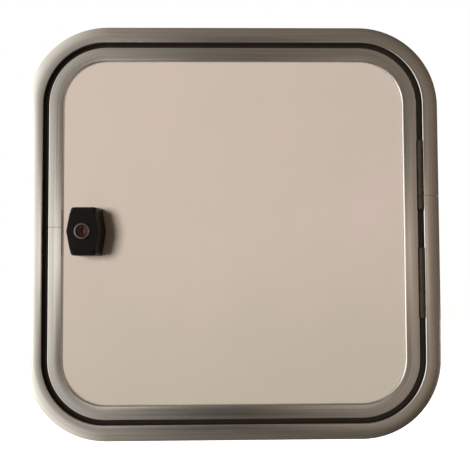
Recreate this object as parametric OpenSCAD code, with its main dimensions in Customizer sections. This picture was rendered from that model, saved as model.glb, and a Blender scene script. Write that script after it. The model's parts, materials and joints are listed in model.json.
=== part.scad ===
// Caravan locker door: an aluminium outer frame let into the caravan's wall, and an insulated door
// hung in it on two knuckle hinges, closed by a turning knob with a key.
// X runs to the hinge side, Y into the wall and Z up. The origin is the centre of the cut-out, on the
// outer face of the caravan's wall. Sections are drawn as [outward from the ring's outline, depth].

/* [Outer frame] */
// Overall width over the outer flange
frame_w = 414; // [340:1:700]
// Overall height over the outer flange
frame_h = 414; // [340:1:700]
// Width of the visible flange, from the throat to its outer edge
flange_w = 17; // [12:0.5:20]
// How far the flange's crown stands proud of the wall
crown_h = 6; // [5.5:0.1:8]
// Distance of the crown from the throat
crown_u = 4; // [3:0.1:6]
// Height of the flange's outer edge
edge_h = 0.8; // [0.5:0.1:1.5]
// Width of the foot that rests on the wall
foot_w = 2.6; // [2:0.1:4]
// Radius of the bent corners, at the throat
throat_r = 63; // [50:0.5:90]
// Wall of the frame's extrusion
leg_t = 1.6; // [1.4:0.1:2.2]
// Depth of the leg behind the wall's outer face
leg_d = 32; // [30:0.5:50]
// Reach of the stop flange behind the door
stop_w = 13; // [12:0.5:18]
// Height of the outer frame's butt join above the centre
frame_join_z = 35; // [-60:1:60]
// Width of both butt joins' hairline
join_gap = 0.25; // [0.1:0.05:0.6]
// Length of the insert behind the outer frame's join
frame_joiner_l = 60; // [40:1:90]
// Radius of the fixing holes in the leg
fix_r = 2.2; // [1.6:0.1:3]
// Distance between the two fixing holes of a side
fix_pitch = 200; // [190:1:210]
// Depth of the fixing holes
fix_y = 17; // [12:0.5:20]

/* [Door] */
// Gap beside the lock
gap_lock = 5.3; // [4:0.1:7]
// Gap beside the hinges
gap_hinge = 5.4; // [5.2:0.1:9]
// Gap above and below
gap_rail = 4.6; // [4:0.1:8]
// How far the door's face stands proud of the wall
door_proud = 5; // [4:0.1:6]
// Width of the door frame's face
bar_w = 13; // [11:0.5:18]
// Rounding of the door frame's inner front edge, down to the panel
inner_round = 1.9; // [1:0.1:2.2]
// Height of the face's camber
camber = 0.5; // [0.2:0.1:0.8]
// Depth of the panel behind the face
lip_h = 2.6; // [2.2:0.1:3.2]
// Rounding of the door frame's outer front edge
bar_round = 1.2; // [0.6:0.1:1.6]
// Wall of the door frame's extrusion
channel_t = 1.6; // [1.2:0.1:2.2]
// Width of the lip behind the panel
rear_lip_w = 10; // [7:0.5:15]
// Room between the panel's edge and the door frame
panel_clear = 1.8; // [1.6:0.1:3]
// Thickness of the outer skin
skin_t = 1.5; // [1:0.1:3]
// Thickness of the inner liner
liner_t = 2.6; // [2:0.1:4]
// Width of the bedding tape under the face
tape_w = 8; // [5:0.5:9]
// Thickness of the bedding tape
tape_t = 0.8; // [0.5:0.1:1.2]
// Height of the door frame's butt join above the centre
door_join_z = 4.5; // [-60:0.5:60]
// Length of the insert behind the door frame's join
door_joiner_l = 56; // [50:1:80]
// Width of the insert behind the door frame's join
door_joiner_w = 14; // [10:1:16]
// Width of the timber batten behind the hinges
batten_w = 22; // [18:1:40]
// Length of the timber batten
batten_l = 230; // [220:1:236]
// Width and height of the timber block round the lock
block_w = 56; // [46:1:60]

/* [Hinges] */
// Length of a hinge
hinge_l = 68; // [56:1:80]
// Height of the upper hinge's middle above the centre
hinge_upper_z = 56; // [50:1:72]
// Height of the lower hinge's middle above the centre
hinge_lower_z = -52; // [-70:1:-45]
// Thickness of a hinge leaf
leaf_t = 1.4; // [1.1:0.1:1.7]
// Depth of a hinge leaf behind the pin
leaf_w = 19.5; // [18:0.5:22]
// Depth of the rivets and screws behind the pin
leaf_fix_y = 15.3; // [14.5:0.1:16]
// Distance between the fixings of a leaf
leaf_pitch = 25; // [15:1:28]
// Radius of the hinge pin
pin_r = 1.25; // [1:0.05:1.5]
// Running clearance round the pin
pin_fit = 0.05; // [0.02:0.01:0.09]
// Clearance between a knuckle and what it turns past
knuckle_clear = 0.35; // [0.3:0.05:0.6]
// Clearance between neighbouring knuckles
knuckle_gap = 0.3; // [0.2:0.05:0.5]
// Length of a screw in the door's edge
screw_l = 14; // [10:0.5:18]

/* [Seals] */
// Depth of the weather seal's groove behind the wall's face
seal_y = 3.6; // [3.2:0.1:5]
// Clearance between the seals and the closed door
seal_clear = 0.5; // [0.3:0.05:0.8]
// Height of the bulb in front of its groove
bulb_h = 5.7; // [4.5:0.1:7]
// Wall of the bulb
bulb_t = 0.9; // [0.7:0.1:1.4]
// Thickness of the weather seal's fin
fin_t = 1.1; // [0.8:0.1:1.6]
// Width of a seal groove's mouth
mouth_w = 2; // [1.6:0.1:2.4]

/* [Lock] */
// Distance of the knob's axis from the door's edge
lock_inset = 41; // [41:0.5:60]
// Height of the knob's axis above the centre
lock_z = -0.5; // [-20:0.5:20]
// Height of the knob's face above the panel
knob_h = 27; // [22:0.5:32]
// Height of the knob's lower edge above the panel
knob_lift = 1.2; // [1:0.1:2.4]
// Length of the knob
knob_l = 47.5; // [44:0.5:48]
// Width of the knob at its middle
knob_w = 32.5; // [31.5:0.5:38]
// Width of the knob at its ends
knob_end_w = 26; // [22:0.5:28]
// Taper of each side of the knob, from its lower edge to its face
knob_taper = 0.7; // [0.5:0.1:2.5]
// Bevel of the knob's face at its two ends
knob_bevel = 4.5; // [2:0.1:6]
// Radius of the lock's barrel
barrel_r = 11; // [10:0.1:12]
// Distance across the barrel's two flats
barrel_flats = 20; // [18:0.1:20]
// Radius of the barrel's flange under the knob
barrel_flange_r = 13.5; // [13:0.1:14]
// Radius of the spindle
spindle_r = 5.5; // [5:0.1:6]
// Running clearance round the spindle and the key plug
turn_fit = 0.05; // [0.02:0.01:0.09]
// Radius of the key cylinder's chromed ring
ring_r = 7.6; // [7.4:0.1:9]
// Radius of the key plug
plug_r = 5.4; // [4.5:0.1:5.6]
// Depth of the key plug's face behind the ring's face
plug_sink = 0.9; // [0.4:0.1:1.2]
// Width of the keyway
keyway_w = 1.3; // [1.2:0.1:2.2]
// Length of the keyway
keyway_l = 7; // [6:0.1:8]
// Length of the cam from the spindle to its tip
cam_l = 42; // [40.5:0.5:44]
// Width of the cam
cam_w = 16; // [14:0.5:18]
// Thickness of the cam
cam_t = 2; // [1.5:0.1:3]
// Clearance between the cam and the keeper
cam_clear = 0.8; // [0.5:0.1:1.5]
// Length of the keeper
keeper_l = 40; // [34:1:60]
// Thickness of the keeper
keeper_t = 1.5; // [1.2:0.1:3]

/* [Hidden] */
$fn = 64;

// Colours, as the piece looks in daylight
satin_aluminium = [0.66, 0.62, 0.56];
cream = [0.80, 0.75, 0.68];
black_plastic = [0.13, 0.13, 0.12];
black_rubber = [0.06, 0.06, 0.06];
zinc = [0.70, 0.71, 0.72];

// Overlap that a cut runs past a face, and the clearance of a piece in a pocket of its own body
cut = 1;
snug = 0.1;

// Throat of the outer frame
throat_x = frame_w / 2 - flange_w;
throat_z = frame_h / 2 - flange_w;

// Outline of the door, which sits off centre because the gap beside the hinges is the wider one
door_w = 2 * throat_x - gap_lock - gap_hinge;
door_h = 2 * (throat_z - gap_rail);
door_cx = (gap_lock - gap_hinge) / 2;
door_r = throat_r - gap_rail;
door_left = door_cx - door_w / 2;
door_right = door_cx + door_w / 2;

// Seal grooves: a lip each side of the mouth, and a wider room behind it
groove_lip = 1.2;
groove_room = 2;
groove_side = 1.1;
groove_room_w = mouth_w + 1.8;
groove_w = groove_room_w + 2 * groove_side;
stop_groove_u = -stop_w + groove_w / 2;

// Depths, from the front to the back
door_y = -door_proud;
door_back_y = leg_d - leg_t - groove_room - groove_lip - bulb_h - seal_clear;
door_d = door_back_y - door_y;
skin_y = door_y + lip_h;
core_y = skin_y + skin_t;
liner_back_y = door_back_y - channel_t;
liner_y = liner_back_y - liner_t;
keeper_back_y = leg_d + keeper_t;
cam_y = keeper_back_y + cam_clear;
cam_back_y = cam_y + cam_t;

// Flange of the outer frame: an arc through the crown and the outer edge, rounded into the throat
flange_arc_r = (pow(flange_w - crown_u, 2) + pow(crown_h - edge_h, 2)) / (2 * (crown_h - edge_h));
flange_arc_v = flange_arc_r - crown_h;
throat_round = 1;
throat_round_v = flange_arc_v - sqrt(pow(flange_arc_r - throat_round, 2) - pow(crown_u - throat_round, 2));
throat_tangent_u = crown_u + (throat_round - crown_u) * flange_arc_r / (flange_arc_r - throat_round);

// Face of the door frame: a shallow arc, rounded into the edge and down to the panel
bar_arc_r = (pow(bar_w / 2, 2) + pow(camber, 2)) / (2 * camber);
inner_round_u = -bar_w * (1 - inner_round / (2 * bar_arc_r));
inner_round_v = door_y + camber + inner_round * (1 - camber / bar_arc_r);
bar_lip_w = inner_round - inner_round_u;
tape_u = (bar_lip_w + channel_t) / 2;

// Panel, set in from the door's edge
panel_inset = channel_t + panel_clear;
panel_w = door_w - 2 * panel_inset;
panel_h = door_h - 2 * panel_inset;
panel_r = door_r - panel_inset;

// Hinges: the knuckle fills the gap, and its pin lies on the door's front plane
hinge_x = door_right + gap_hinge / 2;
hinge_y = door_y;
hinge_zs = [hinge_upper_z, hinge_lower_z];
knuckle_r = gap_hinge / 2 - knuckle_clear;
knuckle_count = 5;
knuckle_pitch = hinge_l / knuckle_count;
leaf_y = hinge_y + knuckle_r + knuckle_clear;
leaf_back_y = hinge_y + leaf_w;
leaf_fix_zs = [-leaf_pitch, 0, leaf_pitch];
pin_head_r = 2;
pin_head_t = 0.8;

// Countersunk fixings of the hinges, the keeper and the joiner
fixing_r = 1.5;
fixing_head_r = 2.8;
fixing_tail_r = 2.4;
fixing_tail_t = 2.2;
drive_w = 0.7;
drive_l = 3.2;
drive_d = 1;
keeper_fix_u = -3.6;
keeper_fix_z = 13;
joiner_fix_zs = [-21, -9, 9, 21];
joiner_rivet_r = 1.3;
joiner_head_r = 2.3;
joiner_t = panel_clear - 3 * snug;

// Lock stack on the knob's axis
lock_x = door_left + lock_inset;
hole_fit = 0.3;
gasket_t = 0.8;
barrel_flange_t = 2.2;
barrel_flange_y = skin_y - gasket_t - barrel_flange_t;
barrel_end_gap = 0.6;
washer_t = 1;
washer_r = 17;
nut_flats = 30;
nut_t = 5;
knob_clear = 0.5;
knob_y = skin_y - knob_lift;
knob_front_y = skin_y - knob_h;
knob_shoulder_y = knob_front_y + knob_bevel;
knob_corner_r = 3;
knob_side_r = 9;
knob_slice_t = 0.01;
knob_recess_y = barrel_flange_y - knob_clear;
drive_square = 7.4;
drive_len = 8;
cam_square = 7;
cylinder_len = 12;
cylinder_wall = 1.5;
ring_t = 1.2;
cam_tip_w = cam_w - 2;
cam_washer_r = 7;
cam_washer_t = 0.8;
cam_screw_r = 2.5;
cam_screw_len = 11;
cam_screw_head_r = 4.75;
cam_screw_head_t = 2.8;
screw_hole_end = 1;

// A section carried round a rectangle with bent corners: x is outward from the outline, y is depth
module ring(half_w, half_h, r) {
  for (i = [0 : 3]) {
    across = i % 2 == 0 ? half_w : half_h;
    along = i % 2 == 0 ? half_h : half_w;
    rotate([0, -90 * i, 0]) {
      translate([across, 0, r - along]) linear_extrude(2 * (along - r)) children();
      translate([across - r, 0, along - r]) rotate([90, 0, 0]) mirror([0, 0, 1])
        rotate_extrude(angle = 90) translate([r, 0]) children();
    }
  }
}

module frame_ring() {
  ring(throat_x, throat_z, throat_r) children();
}

module door_ring() {
  translate([door_cx, 0, 0]) ring(door_w / 2, door_h / 2, door_r) children();
}

// A flat sheet from depth y0 to y1, w by h with round corners
module sheet(w, h, r, y0, y1) {
  translate([0, y1, 0]) rotate([90, 0, 0]) linear_extrude(y1 - y0) {
    square([w - 2 * r, h], center = true);
    square([w, h - 2 * r], center = true);
    for (sx = [-1, 1], sz = [-1, 1])
      translate([sx * (w / 2 - r), sz * (h / 2 - r)]) circle(r = r);
  }
}

// A cylinder along +Y from depth y0 to y1
module rod(r, y0, y1) {
  translate([0, y0, 0]) rotate([-90, 0, 0]) cylinder(r = r, h = y1 - y0);
}

// A square bar along +Y
module square_rod(side, y0, y1) {
  translate([-side / 2, y0, -side / 2]) cube([side, y1 - y0, side]);
}

module at_lock() {
  translate([lock_x, 0, lock_z]) children();
}

// Cross recess of a screw's head, cut from z = 0
module cross_drive() {
  for (a = [0, 90]) rotate(a) translate([-drive_l / 2, -drive_w / 2, -cut])
    cube([drive_l, drive_w, drive_d + cut]);
}

// Countersunk hole: the head's cone starts at z = 0 and the shank runs on to z = depth
module csk_hole(head_r, shank_r, head_t, depth) {
  translate([0, 0, -snug]) cylinder(r = head_r + snug, h = snug);
  cylinder(r1 = head_r + snug, r2 = shank_r + snug, h = head_t);
  cylinder(r = shank_r + snug, h = depth);
}

// Countersunk rivet: flush head, shank through the grip, and a formed tail where tail is true
module csk_rivet(head_r, shank_r, head_t, grip, tail) {
  cylinder(r1 = head_r, r2 = shank_r, h = head_t);
  cylinder(r = shank_r, h = grip);
  if (tail) translate([0, 0, grip]) cylinder(r1 = fixing_tail_r, r2 = shank_r, h = fixing_tail_t);
}

// Countersunk wood screw with a pointed end and a cross recess
module csk_screw(length) {
  point = 2 * fixing_r;
  point_r = fixing_r / 5;
  difference() {
    union() {
      cylinder(r1 = fixing_head_r, r2 = fixing_r, h = leaf_t);
      cylinder(r = fixing_r, h = length - point);
      translate([0, 0, length - point]) cylinder(r1 = fixing_r, r2 = point_r, h = point);
    }
    cross_drive();
  }
}

// Frame section

// Groove with its mouth on y = 0, opening towards -y
module groove_body(back) {
  translate([-groove_w / 2, 0]) square([groove_w, groove_lip + groove_room + back]);
}

module groove_space() {
  translate([-groove_room_w / 2, groove_lip]) square([groove_room_w, groove_room]);
  translate([-mouth_w / 2, -cut]) square([mouth_w, groove_lip + cut + snug]);
}

// Foot of a seal, which fills a groove
module seal_foot() {
  head_w = groove_room_w - 4 * snug;
  stem_w = mouth_w - 2 * snug;
  translate([-head_w / 2, groove_lip + snug]) square([head_w, groove_room - 3 * snug]);
  translate([-stem_w / 2, -snug]) square([stem_w, groove_lip + 3 * snug]);
}

module flange_section() {
  difference() {
    union() {
      difference() {
        intersection() {
          translate([crown_u, flange_arc_v]) circle(r = flange_arc_r, $fn = 128);
          translate([0, -crown_h - cut]) square([flange_w, crown_h + cut]);
        }
        translate([-cut, -crown_h - cut])
          square([throat_tangent_u + cut, throat_round_v + crown_h + cut]);
      }
      translate([throat_round, throat_round_v]) circle(r = throat_round);
    }
    intersection() {
      translate([crown_u, flange_arc_v]) circle(r = flange_arc_r - leg_t, $fn = 128);
      translate([leg_t, -crown_h]) square([flange_w - foot_w - leg_t, crown_h + cut]);
    }
  }
}

module at_weather_groove() {
  translate([0, seal_y]) rotate(-90) children();
}

module at_stop_groove() {
  translate([stop_groove_u, leg_d - leg_t - groove_room - groove_lip]) children();
}

module frame_section() {
  difference() {
    union() {
      flange_section();
      translate([0, throat_round_v]) square([leg_t, leg_d - throat_round_v]);
      translate([-stop_w, leg_d - leg_t]) square([stop_w + leg_t, leg_t]);
      at_weather_groove() groove_body(groove_side);
      at_stop_groove() groove_body(leg_t);
    }
    at_weather_groove() groove_space();
    at_stop_groove() groove_space();
  }
}

// Fixing holes, two in each side of the leg
module fixing_holes() {
  for (i = [0 : 3]) rotate([0, 90 * i, 0]) {
    across = i % 2 == 0 ? throat_x : throat_z;
    for (z = [-1, 1]) translate([across - cut, fix_y, z * fix_pitch / 2]) rotate([0, 90, 0])
      cylinder(r = fix_r, h = leg_t + 2 * cut);
  }
}

module outer_frame() {
  color(satin_aluminium) difference() {
    frame_ring() frame_section();
    translate([throat_x - stop_w - cut, -crown_h - cut, frame_join_z - join_gap / 2])
      cube([flange_w + stop_w + 2 * cut, crown_h + leg_d + 2 * cut, join_gap]);
    fixing_holes();
    at_frame_rivets() csk_hole(fixing_r, fixing_r, leaf_t, leaf_t + leg_t + cut);
    at_keeper_screws() csk_hole(fixing_r, fixing_r, keeper_t, keeper_t + leg_t + cut);
  }
}

module frame_joiner() {
  color("silver") translate([throat_x, 0, frame_join_z - frame_joiner_l / 2])
    linear_extrude(frame_joiner_l) intersection() {
      translate([crown_u, flange_arc_v]) circle(r = flange_arc_r - leg_t - snug, $fn = 128);
      translate([leg_t + snug, -crown_h])
        square([flange_w - foot_w - leg_t - 2 * snug, crown_h - 2 * snug]);
    }
}

// Seals

module weather_fin_section() {
  reach = min(gap_lock, gap_hinge, gap_rail) - seal_clear;
  pad_w = groove_w + 4 * snug;
  pad_t = 1;
  tip_r = fin_t / 2;
  translate([-pad_t, seal_y - pad_w / 2]) square([pad_t, pad_w]);
  translate([-reach + tip_r, -tip_r]) circle(r = tip_r);
  polygon([[-reach + tip_r, -2 * tip_r], [-pad_t / 2, seal_y - pad_w / 2],
    [-pad_t, seal_y - pad_w / 2 + 2 * fin_t], [-reach + tip_r, 0]]);
}

module weather_seal() {
  notch = 0.5;
  color(black_rubber) {
    difference() {
      frame_ring() weather_fin_section();
      for (z = hinge_zs)
        translate([throat_x - gap_hinge, door_y - cut, z - hinge_l / 2 - notch])
          cube([gap_hinge, leaf_w + 2 * cut, hinge_l + 2 * notch]);
    }
    difference() {
      frame_ring() intersection() {
        at_weather_groove() seal_foot();
        translate([-snug, seal_y - groove_w]) square([2 * groove_w, 2 * groove_w]);
      }
      for (z = hinge_zs)
        translate([throat_x - cut, door_y - cut, z - hinge_l / 2 - notch])
          cube([cut, leaf_w + 2 * cut, hinge_l + 2 * notch]);
    }
  }
}

module bulb_section() {
  bulb_r = bulb_h / 2;
  pad_t = 0.8;
  at_stop_groove() {
    difference() {
      union() {
        translate([0, -bulb_r]) circle(r = bulb_r);
        translate([-groove_w / 2, -pad_t]) square([groove_w, pad_t]);
      }
      translate([0, -bulb_r]) circle(r = bulb_r - bulb_t);
    }
    seal_foot();
  }
}

module bulb_seal() {
  color(black_rubber) frame_ring() bulb_section();
}

// Keeper behind the stop flange

module at_keeper_screws() {
  for (s = [-1, 1])
    translate([-throat_x - keeper_fix_u, keeper_back_y, lock_z + s * keeper_fix_z])
      rotate([90, 0, 0]) children();
}

module keeper() {
  margin = 0.5;
  ramp = keeper_t - margin;
  inner_x = -throat_x + stop_w - margin;
  outer_x = -throat_x + margin;
  color(zinc) difference() {
    translate([outer_x, leg_d, lock_z - keeper_l / 2]) cube([inner_x - outer_x, keeper_t, keeper_l]);
    at_keeper_screws() csk_hole(fixing_head_r, fixing_r, keeper_t, keeper_t + cut);
    translate([outer_x - cut, keeper_back_y, lock_z - keeper_l / 2]) rotate([45, 0, 0])
      translate([0, -ramp, -ramp]) cube([inner_x - outer_x + 2 * cut, 2 * ramp, 2 * ramp]);
  }
}

module keeper_screws() {
  tip = 1.2;
  color(zinc) at_keeper_screws() difference() {
    csk_rivet(fixing_head_r, fixing_r, keeper_t, keeper_t + leg_t + tip, false);
    cross_drive();
  }
}

// Hinges

// Leaf of the frame where side is 1 and of the door where it is -1, for the hinge at height z
module hinge_leaf(z, side) {
  plate_x = side > 0 ? throat_x - leaf_t : door_right;
  first = side > 0 ? 0 : 1;
  color(black_plastic) difference() {
    union() {
      translate([plate_x, leaf_y, z - hinge_l / 2]) cube([leaf_t, leaf_back_y - leaf_y, hinge_l]);
      for (i = [first : 2 : knuckle_count - 1])
        translate([0, 0, z - hinge_l / 2 + i * knuckle_pitch + knuckle_gap / 2]) {
          translate([hinge_x, hinge_y, 0]) cylinder(r = knuckle_r, h = knuckle_pitch - knuckle_gap);
          translate([plate_x, hinge_y, 0])
            cube([leaf_t, leaf_y - hinge_y + cut, knuckle_pitch - knuckle_gap]);
        }
    }
    translate([hinge_x, hinge_y, z - hinge_l]) cylinder(r = pin_r + pin_fit, h = 2 * hinge_l);
    if (side > 0) at_frame_rivets() csk_hole(fixing_head_r, fixing_r, leaf_t, leaf_t + cut);
    if (side < 0) at_door_screws() csk_hole(fixing_head_r, fixing_r, leaf_t, leaf_t + cut);
  }
}

module hinge_pin(z) {
  color(black_plastic) translate([hinge_x, hinge_y, z - hinge_l / 2]) {
    cylinder(r = pin_r, h = hinge_l);
    for (end = [-pin_head_t, hinge_l]) translate([0, 0, end]) cylinder(r = pin_head_r, h = pin_head_t);
  }
}

module at_frame_rivets() {
  for (z = hinge_zs, dz = leaf_fix_zs)
    translate([throat_x - leaf_t, hinge_y + leaf_fix_y, z + dz]) rotate([0, 90, 0]) children();
}

module at_door_screws() {
  for (z = hinge_zs, dz = leaf_fix_zs)
    translate([door_right + leaf_t, hinge_y + leaf_fix_y, z + dz]) rotate([0, -90, 0]) children();
}

module frame_hinge_rivets() {
  color(black_plastic) at_frame_rivets()
    csk_rivet(fixing_head_r, fixing_r, leaf_t, leaf_t + leg_t + snug, true);
}

module door_hinge_screws() {
  color(black_plastic) at_door_screws() csk_screw(screw_l);
}

// Door frame

module door_frame_section() {
  round_v = door_y + camber + bar_round;
  difference() {
    union() {
      intersection() {
        translate([-bar_w / 2, door_y + bar_arc_r]) circle(r = bar_arc_r, $fn = 256);
        translate([-bar_w, door_y]) square([bar_w - bar_round, lip_h]);
      }
      intersection() {
        union() {
          translate([inner_round_u, inner_round_v]) circle(r = inner_round);
          translate([-bar_lip_w, inner_round_v]) square([bar_lip_w - bar_w, lip_h]);
        }
        translate([-bar_lip_w, door_y]) square([bar_lip_w - bar_round, lip_h]);
      }
      translate([-bar_round, round_v]) circle(r = bar_round);
      translate([-channel_t, round_v]) square([channel_t, door_back_y - round_v]);
      translate([-channel_t, round_v - bar_round / 2]) square([channel_t - bar_round, bar_round]);
      translate([-rear_lip_w, liner_back_y]) square([rear_lip_w, channel_t]);
    }
    translate([-tape_u - tape_w / 2, skin_y - tape_t]) square([tape_w, tape_t + cut]);
  }
}

module door_frame() {
  color(satin_aluminium) difference() {
    door_ring() door_frame_section();
    translate([door_left - cut, door_y - cut, door_join_z - join_gap / 2])
      cube([bar_lip_w + 2 * cut, door_d + 2 * cut, join_gap]);
    at_door_screws() translate([0, 0, leaf_t]) cylinder(r = fixing_r + snug, h = channel_t + cut);
    at_joiner_rivets() csk_hole(joiner_head_r, joiner_rivet_r, channel_t, channel_t + cut);
  }
}

module at_joiner_rivets() {
  for (dz = joiner_fix_zs) translate([door_left, (door_y + door_back_y) / 2, door_join_z + dz])
    rotate([0, 90, 0]) children();
}

module door_joiner() {
  color("silver") difference() {
    translate([door_left + channel_t, (door_y + door_back_y - door_joiner_w) / 2,
      door_join_z - door_joiner_l / 2]) cube([joiner_t, door_joiner_w, door_joiner_l]);
    at_joiner_rivets() cylinder(r = joiner_rivet_r + snug, h = 2 * panel_inset);
  }
}

module joiner_rivets() {
  color(satin_aluminium) at_joiner_rivets()
    csk_rivet(joiner_head_r, joiner_rivet_r, channel_t, channel_t + joiner_t + snug, false);
}

module bedding_tape() {
  color([0.35, 0.35, 0.34]) door_ring()
    translate([-tape_u - tape_w / 2, skin_y - tape_t]) square([tape_w, tape_t]);
}

// Panel

module panel_sheet(y0, y1) {
  translate([door_cx, 0, 0]) sheet(panel_w, panel_h, panel_r, y0, y1);
}

module lock_hole() {
  at_lock() rod(barrel_r + hole_fit, skin_y - cut, liner_back_y + cut);
}

module batten_space(clear) {
  right = door_right - panel_inset;
  translate([right - batten_w - clear, core_y - clear, -batten_l / 2 - clear])
    cube([batten_w + clear + (clear > 0 ? cut : 0), liner_y - core_y + 2 * clear, batten_l + 2 * clear]);
}

module block_space(clear) {
  at_lock() translate([-block_w / 2 - clear, core_y - clear, -block_w / 2 - clear])
    cube([block_w + 2 * clear, liner_y - core_y + 2 * clear, block_w + 2 * clear]);
}

module outer_skin() {
  color(cream) difference() {
    panel_sheet(skin_y, core_y);
    lock_hole();
  }
}

module panel_core() {
  color([0.93, 0.90, 0.72]) difference() {
    panel_sheet(core_y, liner_y);
    batten_space(snug);
    block_space(snug);
  }
}

module inner_liner() {
  color([0.92, 0.92, 0.90]) difference() {
    panel_sheet(liner_y, liner_back_y);
    lock_hole();
  }
}

module hinge_batten() {
  color("burlywood") difference() {
    batten_space(0);
    at_door_screws() cylinder(r = fixing_r + snug, h = screw_l + cut);
  }
}

module lock_block() {
  color("burlywood") difference() {
    block_space(0);
    lock_hole();
  }
}

// Lock, fixed parts

module lock_gasket() {
  color(black_rubber) at_lock() difference() {
    rod(barrel_flange_r, skin_y - gasket_t, skin_y);
    rod(barrel_r + hole_fit, skin_y - cut - gasket_t, skin_y + cut);
  }
}

module lock_barrel() {
  end_y = cam_y - barrel_end_gap;
  color(zinc) at_lock() difference() {
    union() {
      rod(barrel_flange_r, barrel_flange_y, skin_y - gasket_t);
      intersection() {
        rod(barrel_r, barrel_flange_y, end_y);
        translate([-barrel_r, barrel_flange_y, -barrel_flats / 2])
          cube([2 * barrel_r, end_y - barrel_flange_y, barrel_flats]);
      }
    }
    rod(spindle_r + turn_fit, barrel_flange_y - cut, end_y + cut);
  }
}

module lock_washer() {
  color(zinc) at_lock() difference() {
    rod(washer_r, liner_back_y, liner_back_y + washer_t);
    rod(barrel_r + snug, liner_back_y - cut, liner_back_y + washer_t + cut);
  }
}

module lock_nut() {
  y0 = liner_back_y + washer_t;
  color(zinc) at_lock() difference() {
    translate([0, y0, 0]) rotate([-90, 0, 0]) cylinder(r = nut_flats / sqrt(3), h = nut_t, $fn = 6);
    rod(barrel_r + snug, y0 - cut, y0 + nut_t + cut);
  }
}

// Lock, turning parts

// Corner and side rounds of the knob at depth y: its flanks run out from end_w at the ends to mid_w
module knob_slice(y, length, mid_w, end_w) {
  r = knob_corner_r;
  translate([0, y, 0]) rotate([90, 0, 0]) linear_extrude(knob_slice_t) {
    for (sx = [-1, 1]) translate([sx * (mid_w / 2 - knob_side_r), 0]) circle(r = knob_side_r, $fn = 48);
    for (sx = [-1, 1], sz = [-1, 1])
      translate([sx * (end_w / 2 - r), sz * (length / 2 - r)]) circle(r = r, $fn = 32);
  }
}

module knob() {
  draft = 2 * knob_taper;
  face_edge = 0.5;
  shoulder_l = knob_l - draft;
  shoulder_w = knob_w - draft;
  shoulder_end_w = knob_end_w - draft;
  color(black_plastic) at_lock() difference() {
    hull() {
      knob_slice(knob_y, knob_l, knob_w, knob_end_w);
      knob_slice(knob_shoulder_y, shoulder_l, shoulder_w, shoulder_end_w);
      knob_slice(knob_front_y + knob_slice_t, shoulder_l - 2 * knob_bevel, shoulder_w - 2 * face_edge,
        shoulder_end_w - face_edge);
    }
    rod(barrel_flange_r + knob_clear, knob_recess_y, knob_y + cut);
    square_rod(drive_square + 2 * snug, knob_recess_y - drive_len - snug, knob_recess_y + cut);
    rod(plug_r + cylinder_wall + snug, knob_front_y - cut, knob_front_y + cylinder_len + snug);
  }
}

module key_cylinder() {
  color("gainsboro") at_lock() difference() {
    union() {
      rod(ring_r, knob_front_y - ring_t, knob_front_y);
      rod(plug_r + cylinder_wall, knob_front_y - ring_t, knob_front_y + cylinder_len);
    }
    rod(plug_r + turn_fit, knob_front_y - ring_t - cut, knob_front_y + cylinder_len + cut);
  }
}

module key_plug() {
  front_y = knob_front_y - ring_t + plug_sink;
  plug_floor = 2;
  color([0.42, 0.30, 0.29]) at_lock() difference() {
    rod(plug_r, front_y, knob_front_y + cylinder_len);
    translate([-keyway_w / 2, front_y - cut, -keyway_l / 2])
      cube([keyway_w, cylinder_len - plug_floor + cut, keyway_l]);
  }
}

module spindle() {
  color(zinc) at_lock() difference() {
    union() {
      square_rod(drive_square, knob_recess_y - drive_len, knob_recess_y);
      rod(spindle_r, knob_recess_y, cam_y);
      square_rod(cam_square, cam_y, cam_back_y - snug);
    }
    rod(cam_screw_r + snug, cam_back_y - cam_screw_len - screw_hole_end, cam_back_y + cut);
  }
}

module cam() {
  tip_r = cam_tip_w / 2;
  color(zinc) at_lock() difference() {
    union() {
      rod(cam_w / 2, cam_y, cam_back_y);
      translate([-tip_r, cam_y, -cam_l + tip_r]) cube([2 * tip_r, cam_t, cam_l - tip_r]);
      translate([0, 0, -cam_l + tip_r]) rod(tip_r, cam_y, cam_back_y);
    }
    square_rod(cam_square + 2 * snug, cam_y - cut, cam_back_y + cut);
  }
}

module cam_washer() {
  color(zinc) at_lock() difference() {
    rod(cam_washer_r, cam_back_y, cam_back_y + cam_washer_t);
    rod(cam_screw_r + snug, cam_back_y - cut, cam_back_y + cam_washer_t + cut);
  }
}

module cam_screw() {
  head_y = cam_back_y + cam_washer_t;
  color(zinc) at_lock() difference() {
    union() {
      rod(cam_screw_r, cam_back_y - cam_screw_len, head_y + snug);
      rod(cam_screw_head_r, head_y, head_y + cam_screw_head_t);
    }
    translate([0, head_y + cam_screw_head_t, 0]) rotate([90, 0, 0]) cross_drive();
  }
}

outer_frame();
frame_joiner();
weather_seal();
bulb_seal();
keeper();
keeper_screws();
hinge_leaf(hinge_upper_z, 1);  // frame_hinge_leaf_upper
hinge_leaf(hinge_lower_z, 1);  // frame_hinge_leaf_lower
hinge_pin(hinge_upper_z);  // hinge_pin_upper
hinge_pin(hinge_lower_z);  // hinge_pin_lower
frame_hinge_rivets();
door_frame();
door_joiner();
joiner_rivets();
bedding_tape();
outer_skin();
panel_core();
inner_liner();
hinge_batten();
lock_block();
hinge_leaf(hinge_upper_z, -1);  // door_hinge_leaf_upper
hinge_leaf(hinge_lower_z, -1);  // door_hinge_leaf_lower
door_hinge_screws();
lock_gasket();
lock_barrel();
lock_washer();
lock_nut();
knob();
key_cylinder();
spindle();
cam();
cam_washer();
cam_screw();
key_plug();
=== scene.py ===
"""Looks of the caravan locker door: finishes, the lock's fine surfaces, the stage, the lamps and the camera.

The construction comes from the frame, which is loaded first and never moved. New pieces are worked out
as grids of points with numpy, in metres, in the same frame: X to the hinges, Y into the wall and Z up.
"""

import json
import logging
import math
from dataclasses import dataclass, field
from enum import Enum
from typing import Any

import bpy
import numpy as np
from mathutils import Matrix, Vector


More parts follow.
